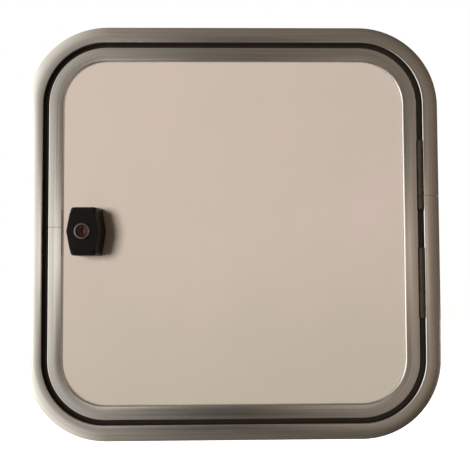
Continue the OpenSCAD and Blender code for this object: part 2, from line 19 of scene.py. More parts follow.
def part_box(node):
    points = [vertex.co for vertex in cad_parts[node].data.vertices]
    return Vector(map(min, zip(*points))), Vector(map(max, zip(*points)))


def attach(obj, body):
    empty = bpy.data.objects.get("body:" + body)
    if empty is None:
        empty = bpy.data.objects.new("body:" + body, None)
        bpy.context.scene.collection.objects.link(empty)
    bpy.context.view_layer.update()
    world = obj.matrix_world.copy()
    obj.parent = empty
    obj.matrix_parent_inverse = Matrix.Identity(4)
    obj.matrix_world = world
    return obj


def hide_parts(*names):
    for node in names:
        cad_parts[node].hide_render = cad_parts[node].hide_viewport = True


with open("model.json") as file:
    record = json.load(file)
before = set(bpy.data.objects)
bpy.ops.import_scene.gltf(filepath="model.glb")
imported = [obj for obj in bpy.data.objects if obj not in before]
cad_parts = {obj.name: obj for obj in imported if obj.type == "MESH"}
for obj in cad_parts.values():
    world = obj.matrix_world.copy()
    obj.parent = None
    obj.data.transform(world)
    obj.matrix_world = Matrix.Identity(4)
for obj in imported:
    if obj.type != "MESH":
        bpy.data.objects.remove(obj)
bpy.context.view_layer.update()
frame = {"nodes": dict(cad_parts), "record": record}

MM = 0.001
LOG = logging.getLogger("locker_door")

Tree = bpy.types.NodeTree
Socket = bpy.types.NodeSocket


class Body(Enum):
    """The bodies that move as one."""

    DOOR = "door"
    KNOB = "knob"
    KEY = "key"


class Slot(Enum):
    """The finishes, as the record names them."""

    SATIN_ALUMINIUM = "satin_aluminium"
    PLAIN_ALUMINIUM = "plain_aluminium"
    RUBBER = "black_rubber"
    ZINC = "zinc_steel"
    HINGE = "black_hinge"
    TAPE = "butyl_tape"
    SKIN = "cream_skin"
    FOAM = "foam_core"
    LINER = "white_liner"
    TIMBER = "timber"
    PLASTIC = "black_plastic"
    CHROME = "chrome_ring"
    PLUG = "plug_metal"


def linear(colour: str) -> tuple[float, float, float, float]:
    """Turn an sRGB hex colour into linear light.

    Args:
        colour: Six hex digits after a hash mark.

    Returns:
        Red, green, blue and an alpha of 1.
    """
    parts = np.array([int(colour[i:i + 2], 16) for i in (1, 3, 5)]) / 255
    light = np.where(parts <= 0.04045, parts / 12.92, ((parts + 0.055) / 1.055) ** 2.4)
    return (*light.tolist(), 1.0)


def add_node(tree: Tree, kind: str, inputs: dict[Any, Any] | None = None, **settings: Any) -> bpy.types.Node:
    """Add a shader node, set its properties, and set or link its inputs.

    Args:
        tree: The node tree to add to.
        kind: The node's type name without the leading ShaderNode.
        inputs: Input name or index, and a plain value or the socket to link from.
        settings: Properties of the node.

    Returns:
        The new node.
    """
    node = tree.nodes.new("ShaderNode" + kind)
    for name, value in settings.items():
        setattr(node, name, value)
    for key, value in (inputs or {}).items():
        if isinstance(value, bpy.types.NodeSocket):
            tree.links.new(value, node.inputs[key])
        else:
            node.inputs[key].default_value = value
    return node


# Finishes


@dataclass(frozen=True)
class Finish:
    """A real surface: two close shades that a pattern blends, a gloss that varies, and a fine relief."""

    slot: Slot
    shade: str
    tint: str
    roughness: float
    swing: float = 0.05
    metallic: float = 0.0
    relief_mm: float = 0.02
    specular: float = 0.5

    def pattern(self, tree: Tree) -> tuple[Socket, Socket]:
        """Add the nodes of the surface's pattern.

        Args:
            tree: The material's node tree.

        Returns:
            The blend between the two shades and the height of the relief, each from 0 to 1.
        """
        place = add_node(tree, "TexCoord").outputs["Object"]
        cloud = add_node(tree, "TexNoise", {"Vector": place, "Scale": 120.0, "Detail": 4.0})
        return cloud.outputs["Fac"], cloud.outputs["Fac"]

    def coat(self, tree: Tree, colour: Socket) -> Socket:
        """Return the colour with what lies over the pattern, which is nothing on a plain finish."""
        return colour

    def build(self) -> bpy.types.Material:
        """Make the material: shade, gloss and relief all follow the pattern."""
        material = bpy.data.materials.new(self.slot.value)
        material.use_nodes = True
        tree = material.node_tree
        tree.nodes.clear()
        blend, height = self.pattern(tree)
        colour = add_node(tree, "Mix", {0: blend, 6: linear(self.shade), 7: linear(self.tint)},
                          data_type="RGBA")
        gloss = add_node(tree, "MapRange", {"Value": height, "To Min": self.roughness - self.swing,
                                            "To Max": self.roughness + self.swing})
        relief = add_node(tree, "Bump", {"Height": height, "Distance": self.relief_mm * MM})
        surface = add_node(tree, "BsdfPrincipled", {
            "Base Color": self.coat(tree, colour.outputs[2]), "Metallic": self.metallic,
            "Roughness": gloss.outputs["Result"], "Specular IOR Level": self.specular,
            "Normal": relief.outputs["Normal"]})
        add_node(tree, "OutputMaterial", {"Surface": surface.outputs[0]})
        return material


@dataclass(frozen=True)
class DrawnMetal(Finish):
    """Extruded metal: fine die lines that run along the bar and round its bent corners.

    The lines are a noise of the distance from the ring's outline and of depth, which hardly changes
    along the bar. That distance is the length of what is left of (|x|, |z|) past the corners' centres.
    """

    half: tuple[float, float] = (0.191, 0.191)
    corner: float = 0.0635
    centre_x: float = 0.0
    line_mm: float = 1.5
    join: tuple[float, float] = (1.0, 0.0)
    join_mm: tuple[float, float] = (0.2, 0.55)

    def coat(self, tree: Tree, colour: Socket) -> Socket:
        """Paint shade on the metal beside the butt join, on the side of the ring where it is cut: a dark band that
        stands in for the shade in the join's gap.

        Args:
            tree: The material's node tree.
            colour: The colour so far.

        Returns:
            The colour with painted shade at the join's edges.
        """
        place = add_node(tree, "SeparateXYZ", {0: add_node(tree, "TexCoord").outputs["Object"]})
        rise = add_node(tree, "Math", {0: place.outputs["Z"], 1: self.join[1]}, operation="SUBTRACT")
        off = add_node(tree, "Math", {0: rise.outputs[0]}, operation="ABSOLUTE")
        near = add_node(tree, "MapRange", {"Value": off.outputs[0], "From Min": self.join_mm[0] * MM,
                                           "From Max": self.join_mm[1] * MM, "To Min": 0.25, "To Max": 0.0})
        side = add_node(tree, "Math", {0: place.outputs["X"], 1: self.join[0]}, operation="MULTIPLY")
        right = add_node(tree, "Math", {0: side.outputs[0], 1: 0.0}, operation="GREATER_THAN")
        share = add_node(tree, "Math", {0: near.outputs[0], 1: right.outputs[0]}, operation="MULTIPLY")
        # painted shade: a dark band beside the join, where the gap would shade the metal
        painted_join_shade = add_node(tree, "Mix", {0: share.outputs[0], 6: colour, 7: linear("#4a443c")}, data_type="RGBA")
        return painted_join_shade.outputs[2]

    def pattern(self, tree: Tree) -> tuple[Socket, Socket]:
        """Add die lines along the bar, and a slow cloud in the shade.

        Args:
            tree: The material's node tree.

        Returns:
            The blend between the two shades and the height of the lines.
        """
        place = add_node(tree, "TexCoord").outputs["Object"]
        middle = add_node(tree, "VectorMath", {0: place, 1: (self.centre_x, 0, 0)}, operation="SUBTRACT")
        folded = add_node(tree, "VectorMath", {0: middle.outputs[0]}, operation="ABSOLUTE")
        inner = (self.half[0] - self.corner, 0, self.half[1] - self.corner)
        past = add_node(tree, "VectorMath", {0: folded.outputs[0], 1: inner}, operation="SUBTRACT")
        level = add_node(tree, "VectorMath", {0: past.outputs[0], 1: (1, 0, 1)}, operation="MULTIPLY")
        kept = add_node(tree, "VectorMath", {0: level.outputs[0], 1: (0, 0, 0)}, operation="MAXIMUM")
        reach = add_node(tree, "VectorMath", {0: kept.outputs[0]}, operation="LENGTH")
        split = add_node(tree, "SeparateXYZ", {0: place})
        along = add_node(tree, "Math", {0: split.outputs["X"], 1: split.outputs["Z"]}, operation="ADD")
        slow = add_node(tree, "Math", {0: along.outputs[0], 1: 0.012}, operation="MULTIPLY")
        across = add_node(tree, "CombineXYZ", {0: reach.outputs["Value"], 1: split.outputs["Y"],
                                               2: slow.outputs[0]})
        lines = add_node(tree, "TexNoise", {"Vector": across.outputs[0], "Scale": 1 / (self.line_mm * MM),
                                            "Detail": 3.0, "Roughness": 0.6})
        clear = add_node(tree, "MapRange", {"Value": lines.outputs["Fac"], "From Min": 0.32, "From Max": 0.68})
        cloud = add_node(tree, "TexNoise", {"Vector": place, "Scale": 22.0, "Detail": 3.0})
        blend = add_node(tree, "Mix", {0: 0.65, 2: cloud.outputs["Fac"], 3: clear.outputs["Result"]})
        return blend.outputs[0], lines.outputs["Fac"]


@dataclass(frozen=True)
class TurnedMetal(Finish):
    """Metal turned on a lathe: fine rings round the lock's axis."""

    axis: tuple[float, float] = (-0.144, 0.0025)
    ring_mm: float = 0.35

    def pattern(self, tree: Tree) -> tuple[Socket, Socket]:
        """Add tool rings about the axis.

        Args:
            tree: The material's node tree.

        Returns:
            The blend between the two shades and the height of the rings.
        """
        place = add_node(tree, "TexCoord").outputs["Object"]
        middle = add_node(tree, "VectorMath", {0: place, 1: (self.axis[0], 0, self.axis[1])},
                          operation="SUBTRACT")
        level = add_node(tree, "VectorMath", {0: middle.outputs[0], 1: (1, 0, 1)}, operation="MULTIPLY")
        reach = add_node(tree, "VectorMath", {0: level.outputs[0]}, operation="LENGTH")
        depth = add_node(tree, "SeparateXYZ", {0: place})
        across = add_node(tree, "CombineXYZ", {0: reach.outputs["Value"], 1: depth.outputs["Y"]})
        rings = add_node(tree, "TexNoise", {"Vector": across.outputs[0], "Scale": 1 / (self.ring_mm * MM),
                                            "Detail": 2.0})
        cloud = add_node(tree, "TexNoise", {"Vector": place, "Scale": 260.0, "Detail": 2.0})
        return cloud.outputs["Fac"], rings.outputs["Fac"]


@dataclass(frozen=True)
class GrainedSurface(Finish):
    """A surface with a fine grain and a broad, faint mottle, such as moulded plastic, rubber or paint."""

    grain_mm: float = 0.4
    mottle_mm: float = 25.0
    grain_share: float = 0.3

    def pattern(self, tree: Tree) -> tuple[Socket, Socket]:
        """Add a grain for the relief, and blend it with a mottle for the shade.

        Args:
            tree: The material's node tree.

        Returns:
            The blend between the two shades and the height of the grain.
        """
        place = add_node(tree, "TexCoord").outputs["Object"]
        grain = add_node(tree, "TexNoise", {"Vector": place, "Scale": 1 / (self.grain_mm * MM),
                                            "Detail": 3.0, "Roughness": 0.55})
        mottle = add_node(tree, "TexNoise", {"Vector": place, "Scale": 1 / (self.mottle_mm * MM),
                                             "Detail": 5.0, "Roughness": 0.6})
        blend = add_node(tree, "Mix", {0: self.grain_share, 2: mottle.outputs["Fac"],
                                       3: grain.outputs["Fac"]})
        return blend.outputs[0], grain.outputs["Fac"]


@dataclass(frozen=True)
class PaintDarkerBelow(GrainedSurface):
    """Paint outdoors, blended towards a darker greenish tone at the bottom edge."""

    low_tone: str = "#a9a692"
    low_tone_z: tuple[float, float] = (0.0, -0.17)
    low_tone_share: float = 0.42

    def coat(self, tree: Tree, colour: Socket) -> Socket:
        """Blend the darker greenish tone over the paint, from nothing at the first height to its full share at the
        second.

        Args:
            tree: The material's node tree.
            colour: The paint's colour.

        Returns:
            The colour of the paint, darker and greener towards the bottom.
        """
        place = add_node(tree, "SeparateXYZ", {0: add_node(tree, "TexCoord").outputs["Object"]})
        # darker, greener tone blended in from the first height down to the bottom edge
        low_share = add_node(tree, "MapRange", {"Value": place.outputs["Z"], "From Min": self.low_tone_z[0],
                                            "From Max": self.low_tone_z[1], "To Max": self.low_tone_share})
        toned = add_node(tree, "Mix", {0: low_share.outputs["Result"], 6: colour, 7: linear(self.low_tone)},
                         data_type="RGBA")
        return toned.outputs[2]


@dataclass(frozen=True)
class CellSurface(Finish):
    """A surface of small cells, such as cut foam or the spangle of a zinc plate."""

    cell_mm: float = 1.2

    def pattern(self, tree: Tree) -> tuple[Socket, Socket]:
        """Add cells: each has its own shade, and its height falls off to its walls.

        Args:
            tree: The material's node tree.

        Returns:
            The blend between the two shades and the height of the cells.
        """
        place = add_node(tree, "TexCoord").outputs["Object"]
        cells = add_node(tree, "TexVoronoi", {"Vector": place, "Scale": 1 / (self.cell_mm * MM)})
        shade = add_node(tree, "SeparateColor", {0: cells.outputs["Color"]})
        return shade.outputs[0], cells.outputs["Distance"]


@dataclass(frozen=True)
class SawnWood(Finish):
    """Softwood sawn along Z: grain lines a few millimetres apart, long in Z, with finer fibres."""

    ring_mm: float = 3.5

    def pattern(self, tree: Tree) -> tuple[Socket, Socket]:
        """Add grain lines drawn out along Z, and finer fibres for the relief.

        Args:
            tree: The material's node tree.

        Returns:
            The blend between the two shades and the height of the fibres.
        """
        place = add_node(tree, "TexCoord").outputs["Object"]
        drawn = add_node(tree, "VectorMath", {0: place, 1: (1, 1, 0.05)}, operation="MULTIPLY")
        rings = add_node(tree, "TexNoise", {"Vector": drawn.outputs[0], "Scale": 1 / (self.ring_mm * MM),
                                            "Detail": 2.0, "Distortion": 0.6})
        fibres = add_node(tree, "TexNoise", {"Vector": drawn.outputs[0], "Scale": 2500.0, "Detail": 2.0})
        return rings.outputs["Fac"], fibres.outputs["Fac"]


def lock_axis() -> tuple[float, float]:
    """Return X and Z of the lock's axis, from the key cylinder's box."""
    low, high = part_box("key_cylinder")
    return (low.x + high.x) / 2, (low.z + high.z) / 2


def ring_of(node: str) -> dict[str, Any]:
    """Work out where a bent bar's outline lies, for its die lines.

    Args:
        node: The CAD node of the ring.

    Returns:
        Half sizes and the middle of the node's box, as fields of DrawnMetal.
    """
    low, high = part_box(node)
    return {"half": ((high.x - low.x) / 2, (high.z - low.z) / 2), "centre_x": (low.x + high.x) / 2}


def door_finishes() -> dict[str, Finish]:
    """List every finish of the door by its slot, with the outer frame's own under its node's name."""
    axis = lock_axis()
    finishes: list[tuple[str, Finish]] = [
        # Aluminium extrusion, etched and anodised: silver grey with die lines, drawn as coarse as a pixel, and
        # painted shade beside the butt join
        ("outer_frame", DrawnMetal(Slot.SATIN_ALUMINIUM, "#c5bfb6", "#dcd8d0", 0.22, 0.04, 1.0, 0.01,
                                   **ring_of("outer_frame"), corner=80 * MM, join=(1, 35 * MM))),
        (Slot.SATIN_ALUMINIUM, DrawnMetal(Slot.SATIN_ALUMINIUM, "#c5bfb6", "#dcd8d0", 0.22, 0.04, 1.0, 0.01,
                                          **ring_of("door_frame"), corner=58.4 * MM, join=(-1, 4.5 * MM))),
        # Aluminium as it leaves the mill: brighter and smoother than the etched bars
        (Slot.PLAIN_ALUMINIUM, GrainedSurface(Slot.PLAIN_ALUMINIUM, "#b9babb", "#cfcfce", 0.32, 0.06, 1.0, 0.01,
                                              grain_mm=0.8, mottle_mm=9)),
        # Rubber, extruded: deep black and matt, with a faint bloom
        (Slot.RUBBER, GrainedSurface(Slot.RUBBER, "#19140f", "#241d17", 0.72, 0.08, 0.0, 0.03,
                                     grain_mm=0.6, mottle_mm=14)),
        # Steel with bright zinc plate: pale grey with a slight spangle
        (Slot.ZINC, CellSurface(Slot.ZINC, "#b4b8ba", "#c9cbc8", 0.3, 0.07, 1.0, 0.008, cell_mm=2.2)),
        # Steel with black powder coat: an uneven, half-gloss skin, worn to grey in places
        (Slot.HINGE, GrainedSurface(Slot.HINGE, "#0d0a07", "#4a4136", 0.5, 0.1, 0.0, 0.03, 0.2,
                                    grain_mm=0.9, mottle_mm=4)),
        # Butyl tape: dull and slightly uneven
        (Slot.TAPE, GrainedSurface(Slot.TAPE, "#3a3a38", "#4a4a47", 0.8, 0.06, 0.0, 0.05,
                                   grain_mm=1.1, mottle_mm=8)),
        # Painted sheet: matt cream coat with a faint orange peel, faded unevenly from pinkish to greenish
        (Slot.SKIN, PaintDarkerBelow(Slot.SKIN, "#c4b9a8", "#d3c2b9", 0.56, 0.05, 0.0, 0.012,
                                   grain_mm=1.4, mottle_mm=85, grain_share=0.12)),
        # Polystyrene foam, cut: pale yellow with open cells
        (Slot.FOAM, CellSurface(Slot.FOAM, "#e6dcb2", "#efe7c4", 0.85, 0.05, 0.0, 0.15, cell_mm=1.3)),
        # Lining board: white film with a fine leather grain
        (Slot.LINER, GrainedSurface(Slot.LINER, "#dedcd5", "#e6e4dd", 0.42, 0.06, 0.0, 0.03,
                                    grain_mm=0.9, mottle_mm=30)),
        # Softwood, sawn: straw with darker late wood
        (Slot.TIMBER, SawnWood(Slot.TIMBER, "#a8824f", "#cfae78", 0.7, 0.08, 0.0, 0.05)),
        # Moulded ABS: black with a fine spark-eroded grain
        (Slot.PLASTIC, GrainedSurface(Slot.PLASTIC, "#090806", "#100f0d", 0.42, 0.06, 0.0, 0.015, 0.12,
                                      grain_mm=0.45, mottle_mm=9)),
        # Chrome plate over a turned ring, dulled by handling: grey with faint tool rings
        (Slot.CHROME, TurnedMetal(Slot.CHROME, "#625d59", "#736e69", 0.22, 0.05, 1.0, 0.004, axis=axis)),
        # Brass, turned and tarnished: a dark reddish brown metal
        (Slot.PLUG, TurnedMetal(Slot.PLUG, "#3c2627", "#553a3b", 0.32, 0.08, 1.0, 0.006, axis=axis)),
    ]
    return {getattr(name, "value", name): finish for name, finish in finishes}


# Surfaces


def surface(name: str, rows: np.ndarray, poles: bool = True, sharp_deg: float = 40.0) -> bpy.types.Object:
    """Turn rows of points, each a closed loop, into one closed mesh with its faces outwards.

    Neighbouring rows are joined by four-sided faces. With poles, the first and the last row are closed
    by a fan round their middle. Without, the last row is joined to the first one.

    Args:
        name: The piece's name.
        rows: Points, shaped (rows, points in a row, 3), in metres.
        poles: Whether the first and last rows are closed by fans.
        sharp_deg: Edges that turn by more than this stay sharp.

    Returns:
        The new object, linked to the scene.
    """
    count, around = rows.shape[:2]
    index = np.arange(count * around).reshape(count, around)
    lower = index[:-1] if poles else index
    upper = index[1:] if poles else np.roll(index, -1, axis=0)
    quads = np.stack([lower, np.roll(lower, -1, axis=1), np.roll(upper, -1, axis=1), upper], axis=-1)
    points = rows.reshape(-1, 3)
    faces = [tuple(q) for q in quads.reshape(-1, 4).tolist()]
    if poles:
        points = np.vstack([points, rows[0].mean(axis=0), rows[-1].mean(axis=0)])
        first, last = index[0], index[-1]
        start = np.stack([np.full(around, count * around), np.roll(first, -1), first], axis=-1)
        end = np.stack([np.full(around, count * around + 1), last, np.roll(last, -1)], axis=-1)
        faces += [tuple(t) for t in np.vstack([start, end]).tolist()]
    corners = points[quads.reshape(-1, 4)]
    middle = points.mean(axis=0)
    volume = np.einsum("ij,ij->i", corners[:, 0] - middle, np.cross(corners[:, 1] - middle,
                                                                    corners[:, 2] - middle)).sum()
    volume += np.einsum("ij,ij->i", corners[:, 0] - middle, np.cross(corners[:, 2] - middle,
                                                                     corners[:, 3] - middle)).sum()
    if volume < 0:
        faces = [face[::-1] for face in faces]
    mesh = bpy.data.meshes.new(name)
    mesh.from_pydata(points.tolist(), [], faces)
    mesh.polygons.foreach_set("use_smooth", np.ones(len(mesh.polygons), bool))
    mesh.set_sharp_from_angle(angle=math.radians(sharp_deg))
    mesh.validate()
    piece = bpy.data.objects.new(name, mesh)
    bpy.context.scene.collection.objects.link(piece)
    return piece


def revolve(profile: list[tuple[float, float]], axis: tuple[float, float], around: int = 96) -> np.ndarray:
    """Carry a profile of (radius, depth) round an axis along Y.

    Args:
        profile: Radius and depth of each point, in metres.
        axis: X and Z of the axis.
        around: Points in each row.

    Returns:
        Rows of points, shaped (profile points, around, 3).
    """
    radius, depth = np.array(profile).T
    angle = np.linspace(0, 2 * np.pi, around, endpoint=False)
    x = axis[0] + np.outer(radius, np.cos(angle))
    z = axis[1] + np.outer(radius, np.sin(angle))
    return np.stack([x, np.repeat(depth[:, None], around, axis=1), z], axis=-1)


def polar_rows(radius: np.ndarray, depth: np.ndarray, angle: np.ndarray,
               axis: tuple[float, float]) -> np.ndarray:
    """Place rows given as a radius and a depth for each direction round an axis along Y.

    Args:
        radius: Radius of each point, shaped (rows, directions), in metres.
        depth: Depth of each row or of each point.
        angle: Direction of each column, measured from +X towards +Z.
        axis: X and Z of the axis.

    Returns:
        Points, shaped (rows, directions, 3).
    """
    depth = np.broadcast_to(depth if depth.ndim == 2 else depth[:, None], radius.shape)
    return np.stack([axis[0] + radius * np.cos(angle), depth, axis[1] + radius * np.sin(angle)], axis=-1)


def rectangle_reach(angle: np.ndarray, half_x: float, half_z: float) -> np.ndarray:
    """Return the distance from the middle to a rectangle's edge in each direction.

    Args:
        angle: Directions, from +X towards +Z.
        half_x: Half of the rectangle's width.
        half_z: Half of its height.

    Returns:
        The lesser of half_x / |cos| and half_z / |sin|.
    """
    cos = np.maximum(np.abs(np.cos(angle)), 1e-9)
    sin = np.maximum(np.abs(np.sin(angle)), 1e-9)
    return np.minimum(half_x / cos, half_z / sin)


# Sub-assemblies


@dataclass
class LockKnob:
    """The six-sided knob with its bevelled ends, the key cylinder's ring and the key plug.

    Sizes that the frame doesn't give are in millimetres.
    """

    finishes: dict[str, bpy.types.Material]
    length: float = 47.5
    width: float = 32.5
    end_width: float = 26.0
    draft: float = 1.4
    bevel: float = 4.5
    face_edge: float = 0.5
    crown: float = 0.3
    corner_r: float = 3.0
    side_r: float = 9.0
    recess_r: float = 14.0
    recess_depth: float = 2.3
    socket_half: float = 3.8
    socket_depth: float = 8.1
    bore_r: float = 7.0
    bore_depth: float = 12.1
    ring_r: float = 7.6
    ring_t: float = 1.2
    plug_r: float = 5.4
    keyway: tuple[float, float] = (0.65, 3.5)
    axis: tuple[float, float] = field(default_factory=lock_axis)

    def outline(self, levels: np.ndarray, angle: np.ndarray) -> np.ndarray:
        """Work out how far the knob's outline lies from its axis, at each level and in each direction.

        The outline wraps a circle in each corner and one in the middle of each flank. In the direction n
        the wrap reaches h(n), the greatest of centre . n + radius. The outline's distance in a direction
        t is the least of h(n) / cos(n - t) over the directions n on the same side.

        Args:
            levels: Depth, length, middle width and end width of each row, in millimetres.
            angle: Directions, from +X towards +Z.

        Returns:
            Distances, shaped (levels, directions), in millimetres.
        """
        normal = np.linspace(0, 2 * np.pi, 720, endpoint=False)
        length, mid, end = (levels[:, i, None] for i in (1, 2, 3))
        across, along = np.abs(np.cos(normal)), np.abs(np.sin(normal))
        corner = (end / 2 - self.corner_r) * across + (length / 2 - self.corner_r) * along + self.corner_r
        flank = (mid / 2 - self.side_r) * across + self.side_r
        turn = np.cos(normal[:, None] - angle[None, :])
        reach = np.maximum(corner, flank)[:, :, None] / np.maximum(turn, 1e-3)[None]
        return reach.min(axis=1)

    def rounded_levels(self, corners: np.ndarray, cut: float, steps: int = 6) -> np.ndarray:
        """Round the inner corners of a run of levels by a quadratic curve through each one.

        Args:
            corners: Levels, one in a row.
            cut: Length that each rounding takes from its neighbours, in millimetres.
            steps: Points in each rounding.

        Returns:
            The levels with their inner corners rounded.
        """
        rows = [corners[:1]]
        t = np.linspace(0, 1, steps)[:, None]
        for before, here, after in zip(corners[:-2], corners[1:-1], corners[2:]):
            back = here + (before - here) * cut / max(np.linalg.norm(before - here), cut * 2.1)
            on = here + (after - here) * cut / max(np.linalg.norm(after - here), cut * 2.1)
            rows.append((1 - t) ** 2 * back + 2 * t * (1 - t) * here + t ** 2 * on)
        rows.append(corners[-1:])
        return np.vstack(rows)

    def face(self, angle: np.ndarray, edge: np.ndarray, front: float) -> tuple[np.ndarray, np.ndarray]:
        """Work out the knob's face, slightly crowned, from the bore to its edge.

        The depth is the crown's height times the square of the share of the way out to the edge.

        Args:
            angle: Directions.
            edge: Distance of the face's edge in each direction.
            front: Depth of the face at the bore.

        Returns:
            Distances and depths, shaped (rows, directions), in millimetres.
        """
        share = np.linspace(0, 1, 9)[:-1, None]
        radius = self.bore_r + 0.15 + (edge[None, :] - self.bore_r - 0.15) * share
        return radius, front + self.crown * (radius / edge[None, :]) ** 2 * np.ones_like(angle)

    def knob(self) -> bpy.types.Object:
        """Make the knob as one closed skin, from the bore over the face and sides into the recess.

        Returns:
            The knob.
        """
        low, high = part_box("knob")
        front, base = low.y / MM, high.y / MM
        shoulder = self.length - self.draft, self.width - self.draft, self.end_width - self.draft
        edge = shoulder[0] - 2 * self.bevel, shoulder[1] - 2 * self.face_edge, shoulder[2] - self.face_edge
        face_y = front + self.crown
        corners = np.array([
            [face_y, edge[0] - 2, edge[1] - 1.4, edge[2] - 1.4],
            [face_y, *edge],
            [front + self.bevel, *shoulder],
            [base, self.length, self.width, self.end_width],
            [base, self.length - 2, self.width - 2, self.end_width - 2],
        ])
        levels = self.rounded_levels(corners, 0.9)
        angle = np.linspace(0, 2 * np.pi, 256, endpoint=False)
        sides = self.outline(levels, angle)
        face, face_depth = self.face(angle, sides[0], front)
        even = np.ones_like(angle)
        socket = rectangle_reach(angle, self.socket_half, self.socket_half)
        recess = base - self.recess_depth
        bore = np.array([self.bore_r - 0.3, self.bore_r, self.bore_r])[:, None] * even
        bore_y = np.array([front + self.bore_depth, front + self.bore_depth, front + 0.15])
        under = np.stack([self.recess_r * even, self.recess_r * even, self.socket_half * 1.45 * even,
                          socket, socket])
        under_y = np.array([base, recess, recess, recess, recess - self.socket_depth])
        rows = [polar_rows(radius * MM, depth * MM, angle, self.axis) for radius, depth in (
            (bore, bore_y), (face, face_depth), (sides, levels[:, 0]), (under, under_y))]
        piece = surface("knob_body", np.concatenate(rows), sharp_deg=42)
        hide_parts("knob")
        return dress(piece, Body.KNOB, Slot.PLASTIC, self.finishes)

    def ring(self) -> bpy.types.Object:
        """Make the key cylinder: a tube whose front falls off outwards, with a cone inside down to the plug.

        Returns:
            The key cylinder.
        """
        low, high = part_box("key_cylinder")
        front, back = low.y / MM, high.y / MM
        seat, bead, fall = front + self.ring_t, 0.35, 0.2
        bore, tube = self.plug_r + 0.05, self.bore_r - 0.1
        turn = np.linspace(0.15, np.pi / 2, 8)
        nose = [(self.ring_r - bead + bead * math.sin(a), front + fall + bead - bead * math.cos(a)) for a in turn]
        cone = [(bore, front + 0.95), (bore + 0.1, front + 0.8), (bore + 0.5, front + 0.1),
                (bore + 0.65, front + 0.01), (bore + 0.8, front)]
        profile = [(bore, back), *cone, *nose, (self.ring_r, seat), (tube, seat), (tube, back)]
        piece = surface("key_cylinder_ring", revolve([(r * MM, y * MM) for r, y in profile], self.axis),
                        poles=False)
        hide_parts("key_cylinder")
        return dress(piece, Body.KNOB, Slot.CHROME, self.finishes)

    def plug(self) -> bpy.types.Object:
        """Make the key plug: a dished face with its keyway sunk in, on a plain barrel.

        Returns:
            The key plug.
        """
        low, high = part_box("key_plug")
        front, back = low.y / MM, high.y / MM
        angle = np.linspace(0, 2 * np.pi, 96, endpoint=False) + np.pi / 96
        slot = rectangle_reach(angle, *self.keyway)
        even = np.ones_like(angle)
        wide = np.minimum(slot + 0.25, self.plug_r - 1)
        radii = [slot * 0.9, slot, slot, wide, (self.plug_r - 0.9) * even, (self.plug_r - 0.3) * even,
                 self.plug_r * even, self.plug_r * even, (self.plug_r - 0.4) * even]
        depths = np.array([front + 10, front + 10, front + 0.25, front + 0.12, front + 0.1, front,
                           front + 0.3, back - 0.2, back])
        rows = polar_rows(np.array(radii) * MM, depths * MM, angle, self.axis)
        piece = surface("key_plug_face", rows, sharp_deg=35)
        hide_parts("key_plug")
        return dress(piece, Body.KEY, Slot.PLUG, self.finishes)

    def build(self) -> list[bpy.types.Object]:
        """Make every piece of the knob."""
        return [self.knob(), self.ring(), self.plug()]


